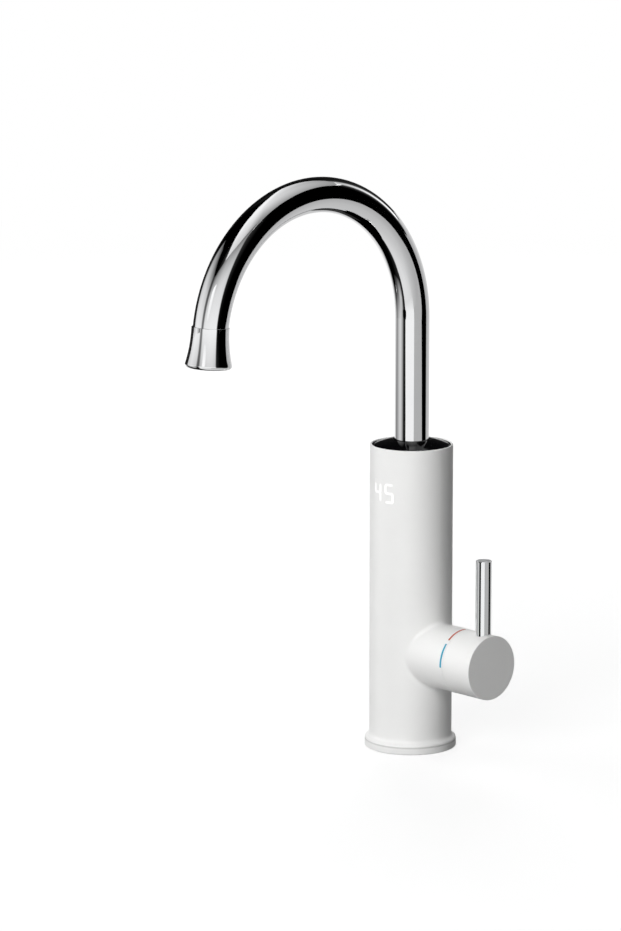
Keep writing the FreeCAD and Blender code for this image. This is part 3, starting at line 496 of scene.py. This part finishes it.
def addFlange(bm, c):
    # flange and spigot, with the flat that keeps clear of the gland
    flange, spigot, groove = c["flange"], c["spigot"], c["groove"]
    bore = c["bore"] + c["sink"]
    wide, slim, neck = flange["radius"], spigot["radius"], groove["radius"]
    addTurned(bm, [
        (bore, flange["low"]), (wide - flange["edge"], flange["low"]),
        (wide, flange["low"] + flange["edge"]), (wide, flange["high"] - flange["edge"]),
        (wide - flange["edge"], flange["high"]),
        (slim, flange["high"]), (slim, groove["low"]), (neck, groove["low"]), (neck, groove["high"]),
        (slim, groove["high"]), (slim, spigot["high"] - spigot["edge"]),
        (slim - spigot["edge"], spigot["high"]), (bore, spigot["high"]),
    ])
    cut = bmesh.ops.bisect_plane(bm, geom=bm.verts[:] + bm.edges[:] + bm.faces[:], dist=1e-7,
                                 plane_co=(0, flange["flat"] * mm, 0), plane_no=(0, 1, 0), clear_outer=True)
    bmesh.ops.contextual_create(bm, geom=[e for e in cut["geom_cut"] if isinstance(e, bmesh.types.BMEdge)])


def addStem(bm, c, low):
    # stem with the inlet below it; its head sits just inside the flange
    inlet, stem = c["inlet"], c["stem"]
    head = c["flange"]["low"] + c["sink"]
    addTurned(bm, [
        (c["screenBore"], low), (inlet["core"] - inlet["chamfer"] / 2, low),
        (inlet["core"], low + inlet["chamfer"]), (inlet["core"], c["step"]),
        (stem["core"], c["step"]), (stem["core"], stem["plainFrom"]),
        (stem["crest"], stem["plainFrom"]), (stem["crest"], head), (c["bore"], head),
        (c["bore"], low + c["screenDepth"]), (c["screenBore"], low + c["screenDepth"]),
    ])
    addThread(bm, inlet["core"], inlet["crest"], inlet["pitch"], low + inlet["chamfer"], c["step"])
    addThread(bm, stem["core"], stem["crest"], stem["pitch"], c["step"], stem["plainFrom"])


def buildShank(c=shank):
    bm = bmesh.new()
    addFlange(bm, c)
    addStem(bm, c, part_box("inlet_shank")[0].z / mm)
    piece = finishMesh(bm, "inlet_shank_threaded", finishes["brass"], "tap_body")
    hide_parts("inlet_shank")


buildShank()
print("threaded shank done")

# screws of foot and board: pan heads with a cross recess, in mm
panScrews = {
    # head: radius, height; stem: radius, length; cross: length and half width of its arms
    "base_screws": {"head": (2.75, 2.0), "stem": (1.5, 12.0), "pitch": 0.9,
                    "cross": (1.45, 0.42), "deep": 1.2},
    "board_screws": {"head": (2.0, 1.4), "stem": (1.0, 5.0), "pitch": 0.6,
                     "cross": (1.05, 0.3), "deep": 0.8},
}
panHead = {"edge": 0.35, "rim": 0.15, "taper": 0.55}   # rounding, ring round the cross, its narrowing


def addSocket(bm, outline, top, deep, taper):
    # a recess whose mouth is joined to the rim left open in a head, all in mm
    rim = [e for e in bm.edges if e.is_boundary]
    mouth = [bm.verts.new((x * mm, y * mm, top * mm)) for x, y in outline]
    edges = [bm.edges.new(pair) for pair in zip(mouth, mouth[1:] + mouth[:1])]
    bmesh.ops.bridge_loops(bm, edges=rim + edges)
    grown = bmesh.ops.extrude_edge_only(bm, edges=edges)["geom"]
    floor = [v for v in grown if isinstance(v, bmesh.types.BMVert)]
    bmesh.ops.scale(bm, verts=floor, vec=(taper, taper, 1))
    bmesh.ops.translate(bm, verts=floor, vec=(0, 0, -deep * mm))
    bmesh.ops.contextual_create(bm, geom=[e for e in grown if isinstance(e, bmesh.types.BMEdge)])


def addPanScrew(bm, c, form=panHead):
    # head up with its edge rounded off by two flats, seat at zero, stem down
    edge = form["edge"]
    radius, height = c["head"]
    stem, length = c["stem"]
    arm, half = c["cross"]
    core = stem - threadForm["screwDepth"] * c["pitch"]
    addTurned(bm, [(arm + form["rim"], height), (radius - 2 * edge, height),
                   (radius - 0.6 * edge, height - 0.4 * edge), (radius, height - 1.6 * edge), (radius, 0),
                   (core, 0), (core, c["pitch"] - length), (0, -length)], closed=False, steps=32)
    outline = []
    for turn in range(4):
        for corner in ((arm, -half), (arm, half), (half, half)):
            outline.append(Matrix.Rotation(turn * math.pi / 2, 2) @ Vector(corner))
    addSocket(bm, outline, height, c["deep"], form["taper"])
    addThread(bm, core, stem, c["pitch"], c["pitch"] - length, -threadForm["neck"] * c["pitch"],
              steps=24, sink=0.04)


def buildScrews(name, places, turn):
    bm = bmesh.new()
    addPanScrew(bm, panScrews[name])
    first = bm.verts[:] + bm.edges[:] + bm.faces[:]
    for place in places:
        copy = bmesh.ops.duplicate(bm, geom=first)["geom"]
        bmesh.ops.transform(bm, matrix=Matrix.Translation(place) @ Matrix.Rotation(turn, 4, "X"),
                            verts=[v for v in copy if isinstance(v, bmesh.types.BMVert)])
    bmesh.ops.delete(bm, geom=[v for v in first if isinstance(v, bmesh.types.BMVert)], context="VERTS")
    piece = finishMesh(bm, name + "_crossed", finishes["steel"], "tap_body")
    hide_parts(name)


def baseScrewPlaces(count=3, first=30):
    # seats on a circle, heads under the plate
    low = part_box("base_screws")[0]
    radius, height = panScrews["base_screws"]["head"]
    circle = -low.y - radius * mm
    angles = [math.radians(first + 360 / count * k) for k in range(count)]
    return [Vector((circle * math.cos(a), circle * math.sin(a), low.z + height * mm)) for a in angles]


def boardScrewPlaces():
    # seats at the four corners, heads to the front
    low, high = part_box("board_screws")
    radius, height = (size * mm for size in panScrews["board_screws"]["head"])
    return [Vector((x, low.y + height, z)) for x in (low.x + radius, high.x - radius)
            for z in (low.z + radius, high.z - radius)]


buildScrews("base_screws", baseScrewPlaces(), math.pi)
buildScrews("board_screws", boardScrewPlaces(), math.pi / 2)

# set screw in the knob's underside, with a hexagon for the key, in mm
setScrew = {"radius": 2.0, "pitch": 0.7, "hexagon": 1.15, "deep": 2.2, "edge": 0.3,
            "rim": 0.2, "taper": 0.96}


def buildSetScrew(c=setScrew):
    low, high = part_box("grub_screw")
    length = (high.z - low.z) / mm
    core = c["radius"] - threadForm["screwDepth"] * c["pitch"]
    bm = bmesh.new()
    addTurned(bm, [(c["hexagon"] + c["rim"], length), (core - c["edge"], length),
                   (core, length - c["edge"]), (core, c["edge"]), (core - c["edge"], 0), (0, 0)],
              closed=False, steps=32)
    outline = [Matrix.Rotation(k * math.pi / 3, 2) @ Vector((c["hexagon"], 0)) for k in range(6)]
    addSocket(bm, outline, length, c["deep"], c["taper"])
    addThread(bm, core, c["radius"], c["pitch"], c["edge"], length - c["edge"], steps=24, sink=0.04)
    top = Vector(((low.x + high.x) / 2, (low.y + high.y) / 2, high.z))
    upturned = Matrix.Translation(top) @ Matrix.Rotation(math.pi, 4, "X")
    bmesh.ops.transform(bm, matrix=upturned, verts=bm.verts)
    piece = finishMesh(bm, "grub_screw_hexagon", finishes["steel"], "handle")
    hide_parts("grub_screw")


buildSetScrew()
print("screws done")

# camera at the photograph's viewing angle, with lens and sensor in mm
view = {"azimuth": 47.28, "elevation": 11.23, "distance": 2.9185, "lens": 170.8, "sensor": 36.0,
        "aim": (-45.26 * mm, -49.03 * mm, 189.72 * mm)}


def directionFrom(azimuth, elevation):
    a, e = math.radians(azimuth), math.radians(elevation)
    return Vector((math.sin(a) * math.cos(e), -math.cos(a) * math.cos(e), math.sin(e)))


def addToStage(name, bm, material):
    mesh = bpy.data.meshes.new(name)
    bm.to_mesh(mesh)
    bm.free()
    mesh.materials.append(material)
    piece = bpy.data.objects.new(name, mesh)
    bpy.context.scene.collection.objects.link(piece)
    return piece


def seenRays(tree):
    # 1 where the camera, a mirror or a clear piece looks, 0 for the light on the object
    path = addNode(tree, "ShaderNodeLightPath")
    seen = addNode(tree, "ShaderNodeMath", {0: path.outputs["Is Camera Ray"],
                                            1: path.outputs["Is Glossy Ray"]}, operation="MAXIMUM")
    return addNode(tree, "ShaderNodeMath", {0: seen.outputs[0], 1: path.outputs["Is Transmission Ray"]},
                   operation="MAXIMUM").outputs[0]


# pale paper: light and glow add up to white where nothing shades it, and far off it fades into the backdrop
floorLook = {"radius": 8.0, "below": 0.1 * mm, "colour": "#8C8C8C", "glow": 0.79,
             "fadeFrom": 0.5, "fadeTo": 2.5}


def buildFloor(c=floorLook):
    material = bpy.data.materials.new("floor_paper")
    material.use_nodes = True
    tree = material.node_tree
    tree.nodes.clear()
    seen = seenRays(tree)
    place = addNode(tree, "ShaderNodeTexCoord").outputs["Object"]
    away = addNode(tree, "ShaderNodeVectorMath", {0: place}, operation="LENGTH")
    fade = addNode(tree, "ShaderNodeMapRange", {"Value": away.outputs["Value"], "From Min": c["fadeFrom"],
                                                "From Max": c["fadeTo"]}, interpolation_type="SMOOTHSTEP")
    paper = addNode(tree, "ShaderNodeBsdfDiffuse", {"Color": linear(c["colour"])})
    lift = addNode(tree, "ShaderNodeMath", {0: seen, 1: c["glow"]}, operation="MULTIPLY")
    glow = addNode(tree, "ShaderNodeEmission", {"Strength": lift.outputs[0]})
    near = addNode(tree, "ShaderNodeAddShader", {0: paper.outputs[0], 1: glow.outputs[0]})
    far = addNode(tree, "ShaderNodeEmission", {"Strength": seen})
    mixed = addNode(tree, "ShaderNodeMixShader", {0: fade.outputs["Result"], 1: near.outputs[0],
                                                  2: far.outputs[0]})
    addNode(tree, "ShaderNodeOutputMaterial", {"Surface": mixed.outputs[0]})
    bm = bmesh.new()
    bmesh.ops.create_circle(bm, cap_ends=True, segments=96, radius=c["radius"],
                            matrix=Matrix.Translation((0, 0, -c["below"])))
    floor = addToStage("floor", bm, material)
    floor.visible_glossy = False


# cards of a studio, hung on a wide sphere round the tap, that only polished surfaces see
cards = {
    "distance": 6.0,
    "layer": 0.06,             # each card hangs this much nearer than the one before
    "height": 0.25,            # of the sphere's middle
    "step": 2.0,               # degrees between a card's rows and columns
    "shapes": {
        # each line: degrees to the camera's right, lowest and highest elevation, glow at foot and head
        "ceiling": ((-35, 47, 90, 0.85, 1.0), (20, 46, 90, 0.68, 0.95), (45, 39, 90, 0.2, 0.92),
                    (60, 41, 90, 0.3, 0.9), (110, 37, 90, 0.3, 0.85), (130, 41, 90, 0.33, 0.88),
                    (150, 41, 90, 0.3, 0.9), (186, 48, 90, 0.8, 0.95)),
        "softbox_front": ((-48, -8, 22, 1.0, 0.5), (-34, -8, 22, 1.0, 0.7), (0, -8, 22, 1.0, 0.78),
                          (20, -8, 22, 1.0, 0.74), (44, -8, 22, 1.0, 0.5)),
        "softbox_high": ((-48, 22, 39, 0.5, 0.02), (-40, 22, 41, 0.62, 0.05), (-30, 22, 45, 0.72, 0.12),
                         (0, 22, 47, 0.78, 0.3), (20, 22, 46, 0.74, 0.2), (44, 22, 45, 0.5, 0.1)),
        "strip_front": ((-33, 11, 26, 0.9, 0.85), (-29, 8, 29, 0.92, 1.15), (-21, 9, 30, 0.92, 1.15),
                        (-16, 15, 29, 0.9, 0.85)),
        "strip_back": ((127, 10, 40, 1.3, 0.5), (139, 11, 41, 1.3, 0.5)),
        "band_front": ((-52, -15, -8, 0.95, 0.97), (12.5, -15, -8, 0.95, 0.97)),
        "band_right": ((12.5, -15, -8, 0.46, 0.47), (70, -15, -8, 0.46, 0.46),
                       (107, -15, 5.5, 0.46, 0.45), (122, -15, 8.5, 0.5, 0.44), (130, -15, 11, 0.55, 0.5),
                       (142, -15, 12, 0.6, 0.6), (152, -15, 10, 0.65, 0.7), (186, -15, 3, 0.7, 0.75)),
        "table_mid": ((-52, -40, -15, 0.78, 0.72), (-40, -40, -15, 0.82, 0.78),
                      (-20, -40, -15, 0.8, 0.78), (-5, -40, -15, 0.74, 0.77), (5, -40, -15, 0.71, 0.7),
                      (12, -40, -15, 0.68, 0.57), (20, -40, -15, 0.65, 0.5), (40, -40, -15, 0.59, 0.44),
                      (70, -40, -15, 0.53, 0.42), (104, -40, -15, 0.55, 0.44), (140, -40, -15, 0.6, 0.58),
                      (186, -46, -15, 0.62, 0.68)),
        "band_fade": ((-52, -23, -15, 0.77, 0.95), (-5, -23, -15, 0.76, 0.95), (8, -23, -15, 0.67, 0.9),
                      (15, -23, -15, 0.57, 0.48)),
        "table_low": ((-52, -90, -40, 0.68, 0.78), (-20, -90, -40, 0.67, 0.8), (5, -90, -40, 0.66, 0.71),
                      (20, -90, -40, 0.66, 0.65), (40, -90, -40, 0.64, 0.59), (70, -90, -40, 0.63, 0.54),
                      (104, -90, -40, 0.62, 0.55), (142, -90, -40, 0.6, 0.6)),
        "edge_left": ((-152, -8.4, 28, 0.02, 0.02), (-116, -8.4, 28, 0.02, 0.02),
                      (-113, -8.4, 0, 0.2, 0.3)),
        "wall_left": ((-129, 14, 24, 0.2, 0.12), (-124, 10, 24, 0.4, 0.35), (-119, 4, 24, 0.75, 0.55),
                      (-115, -3, 24, 0.8, 0.62), (-95, -3, 24, 0.98, 0.74), (-66, -3, 24, 0.95, 0.62),
                      (-60, -3, 24, 0.75, 0.45)),
        "wall_left_high": ((-129, 24, 32, 0.12, 0.05), (-124, 24, 38, 0.35, 0.05),
                           (-116, 24, 43, 0.6, 0.05), (-95, 24, 46, 0.72, 0.04), (-66, 24, 41, 0.6, 0.03),
                           (-60, 24, 39, 0.45, 0.02)),
        "table_left": ((-152, -14, -8.4, 0.9, 0.9), (-133, -15, -8.4, 0.3, 0.6),
                       (-122, -18, -8.4, 0.04, 0.18), (-115, -22, -5, 0.04, 0.46),
                       (-106, -26, 0, 0.06, 0.72), (-100, -26, 0, 0.09, 0.8), (-92, -26, 0, 0.2, 0.97),
                       (-84, -26, 0, 0.42, 0.85), (-76, -26, 0, 0.64, 0.53), (-68, -26, 0, 0.5, 0.24),
                       (-62, -26, 0, 0.12, 0.1), (-58, -26, 0, 0.03, 0.04)),
        "table_left_low": ((-106, -38, -26, 0.0, 0.06), (-92, -41, -26, 0.0, 0.2),
                           (-84, -42, -26, 0.0, 0.42), (-76, -42, -26, 0.0, 0.64),
                           (-68, -42, -26, 0.0, 0.5), (-62, -41, -26, 0.0, 0.12),
                           (-58, -40, -26, 0.0, 0.03)),
        "fade_left": ((-182, -45, -12, 0.55, 0.95), (-152, -44, -12, 0.7, 0.95),
                      (-142, -43, -13, 0.55, 0.75), (-134, -41, -14, 0.2, 0.35),
                      (-127, -38, -16, 0.05, 0.12), (-120, -34, -18, 0.01, 0.04)),
        "gap_left_high": ((-63, -3, 39, 0.85, 0.08), (-58, -3, 38, 0.26, 0.04), (-52, -3, 38, 0.15, 0.03),
                          (-47, -3, 39, 0.42, 0.05), (-44, -3, 40, 0.9, 0.08)),
        "gap_left_low": ((-62, -40, -3, 0.0, 0.04), (-58, -80, -3, 0.0, 0.03), (-50, -42, -3, 0.0, 0.01),
                         (-46.5, -18, -8.8, 0.0, 0.01), (-45.5, -13, -9.6, 0.0, 0.01),
                         (-43, -12, -10.8, 0.0, 0.01)),
        "gap_lever": ((-66, -15.6, -12.2, 0.0, 0.0), (-62, -16.5, -11.4, 0.0, 0.0),
                      (-46, -16.5, -11.4, 0.0, 0.0), (-41, -15.6, -12.2, 0.0, 0.0)),
        "dark_left_low": ((-186, -90, -43, 0.0, 0.0), (-150, -90, -43, 0.0, 0.0),
                          (-134, -90, -41, 0.0, 0.0), (-127, -90, -25, 0.0, 0.0),
                          (-120, -90, -19, 0.0, 0.0), (-115, -90, -22, 0.0, 0.0),
                          (-107, -90, -27, 0.0, 0.0), (-104, -90, -38, 0.0, 0.0),
                          (-92, -90, -41, 0.0, 0.0), (-58, -90, -41, 0.0, 0.02),
                          (-53, -90, -46, 0.2, 0.15), (-48, -90, -60, 0.7, 0.7)),
        "dark_left_high": ((-172, 30, 50, 0.1, 0.0), (-160, 27, 66, 0.03, 0.0), (-145, 18, 73, 0.0, 0.0),
                           (-131, 16, 75, 0.0, 0.0), (-122, 38, 76, 0.0, 0.0), (-95, 46, 78, 0.0, 0.0),
                           (-75, 42, 75, 0.0, 0.0), (-60, 37, 72, 0.0, 0.0), (-52, 36, 69, 0.0, 0.0),
                           (-45, 37, 66, 0.0, 0.0), (-38, 40, 62, 0.01, 0.01), (-30, 42, 57, 0.01, 0.03),
                           (-24, 44, 52, 0.03, 0.1), (-20, 46, 48, 0.4, 0.4)),
        "flag_right": ((35.5, -5, 34, 0.8, 0.4), (38, -7, 36, 0.1, 0.1), (40, -7.5, 37, 0.0, 0.03),
                       (60, -7.8, 42, 0.0, 0.0), (67, -9.6, 43, 0.0, 0.0), (73, -12.5, 43, 0.0, 0.0),
                       (80, -17, 44, 0.0, 0.0), (88, -18.5, 44, 0.0, 0.0), (100, -19.5, 42, 0.0, 0.0),
                       (106, -19, 40, 0.0, 0.0), (107.5, -14, 39, 0.0, 0.0), (108, -2, 39, 0.0, 0.0),
                       (109.5, 4, 38.5, 0.0, 0.0), (117, 5, 37, 0.0, 0.02), (122.5, 7, 37, 0.03, 0.08),
                       (127.5, 10, 38, 0.4, 0.7)),
        "flag_lever": ((75, -15.8, -11.8, 0.0, 0.0), (111, -15.8, -11.8, 0.0, 0.0)),
        "flag_back": ((138, 10, 43, 0.6, 0.5), (141, 10, 44, 0.15, 0.15), (146, 9, 45, 0.03, 0.02),
                      (155, 9, 47, 0.02, 0.01), (163, 4, 48, 0.02, 0.0), (188, 3, 49, 0.02, 0.0),
                      (192, -8.4, 50, 0.02, 0.0), (217, -8.4, 30, 0.02, 0.0)),
        "dark_back_low": ((136, -52, -44, 0.1, 0.1), (144, -90, -41, 0.01, 0.04),
                          (160, -90, -40, 0.0, 0.06), (172, -90, -43, 0.0, 0.03),
                          (186, -90, -45, 0.0, 0.03)),
    },
}


def between(lines, azimuth):
    # a card's foot, head and glow at one azimuth
    for a, b in zip(lines, lines[1:]):
        if azimuth <= b[0]:
            share = (azimuth - a[0]) / (b[0] - a[0])
            return [p + (q - p) * share for p, q in zip(a[1:], b[1:])]
    return lines[-1][1:]


def hangCard(name, bm):
    # a card glows as its corners say, and only mirrors see it
    material = bpy.data.materials.new(name)
    material.use_nodes = True
    tree = material.node_tree
    tree.nodes.clear()
    level = addNode(tree, "ShaderNodeAttribute", attribute_name="glow")
    lit = addNode(tree, "ShaderNodeEmission", {"Strength": level.outputs["Fac"]})
    addNode(tree, "ShaderNodeOutputMaterial", {"Surface": lit.outputs[0]})
    card = addToStage(name, bm, material)
    card.visible_camera = False
    card.visible_diffuse = False
    card.visible_transmission = False
    card.visible_shadow = False


def buildCard(name, lines, distance, c):
    first, last = lines[0][0], lines[-1][0]
    tallest = max(line[2] - line[1] for line in lines)
    bm = bmesh.new()
    bmesh.ops.create_grid(bm, x_segments=math.ceil((last - first) / c["step"]),
                          y_segments=math.ceil(tallest / c["step"]), size=0.5)
    glow = bm.verts.layers.float.new("glow")
    for vert in bm.verts:
        across, up = vert.co.x + 0.5, vert.co.y + 0.5
        azimuth = first + (last - first) * across
        low, high, foot, head = between(lines, azimuth)
        vert[glow] = foot + (head - foot) * up
        vert.co = directionFrom(view["azimuth"] + azimuth, low + (high - low) * up) * distance
        vert.co.z += c["height"]
    hangCard(name, bm)


def buildCards(c=cards):
    for k, (name, lines) in enumerate(c["shapes"].items()):
        buildCard(name, lines, c["distance"] - k * c["layer"], c)


# small black card close under the bow, which keeps the column's white rim out of its mirror, in mm
rimFlag = {
    "outline": ((4, -60), (8.8, -56), (9.4, -50), (10.2, -45.5), (9.8, -42), (6, -34), (0, -34), (0, -56)),
    "height": 326.4,           # where its plane meets the column's axis
    "slope": -0.385,           # its rise along Y
}


def buildRimFlag(c=rimFlag):
    bm = bmesh.new()
    for x, y in c["outline"]:
        bm.verts.new((x * mm, y * mm, (c["height"] + c["slope"] * y) * mm))
    bmesh.ops.contextual_create(bm, geom=bm.verts)
    hangCard("flag_rim", bm)


# soft square lamps, all aimed at one spot of the tap
lamps = {
    # name: degrees to the camera's right, elevation, distance, size, watts
    "lamp_key": (-23.5, 22, 2.2, 1.3, 45.0),
    "lamp_side": (-120, 12, 2.2, 1.3, 20.0),
    "lamp_top": (-20, 76, 2.2, 1.3, 6.0),
    "lamp_back": (178, 24, 2.2, 1.1, 30.0),
}
lampAim = Vector((0, -20 * mm, 150 * mm))


def buildLamps():
    for name, (right, elevation, distance, size, watts) in lamps.items():
        data = bpy.data.lights.new(name, "AREA")
        data.size = size
        data.energy = watts
        lamp = bpy.data.objects.new(name, data)
        bpy.context.scene.collection.objects.link(lamp)
        out = directionFrom(view["azimuth"] + right, elevation)
        lamp.location = lampAim + out * distance
        lamp.rotation_mode = "QUATERNION"
        lamp.rotation_quaternion = out.to_track_quat("Z", "Y")
        lamp.visible_glossy = False


def buildWorld(ambient=0.04):
    world = bpy.data.worlds.new("studio")
    world.use_nodes = True
    bpy.context.scene.world = world
    tree = world.node_tree
    tree.nodes.clear()
    level = addNode(tree, "ShaderNodeMapRange", {"Value": seenRays(tree), "To Min": ambient, "To Max": 1.0})
    sky = addNode(tree, "ShaderNodeBackground", {"Color": linear("#FFFFFF"),
                                                 "Strength": level.outputs["Result"]})
    addNode(tree, "ShaderNodeOutputWorld", {"Surface": sky.outputs[0]})


def buildCamera(c=view):
    data = bpy.data.cameras.new("camera")
    data.lens = c["lens"]
    data.sensor_width = c["sensor"]
    camera = bpy.data.objects.new("camera", data)
    bpy.context.scene.collection.objects.link(camera)
    out = directionFrom(c["azimuth"], c["elevation"])
    camera.location = Vector(c["aim"]) + out * c["distance"]
    camera.rotation_mode = "QUATERNION"
    camera.rotation_quaternion = out.to_track_quat("Z", "Y")
    bpy.context.scene.camera = camera


buildFloor()
buildCards()
buildRimFlag()
buildLamps()
buildWorld()
buildCamera()
bpy.context.scene.view_settings.view_transform = "Standard"
print("stage done")

bpy.context.view_layer.update()
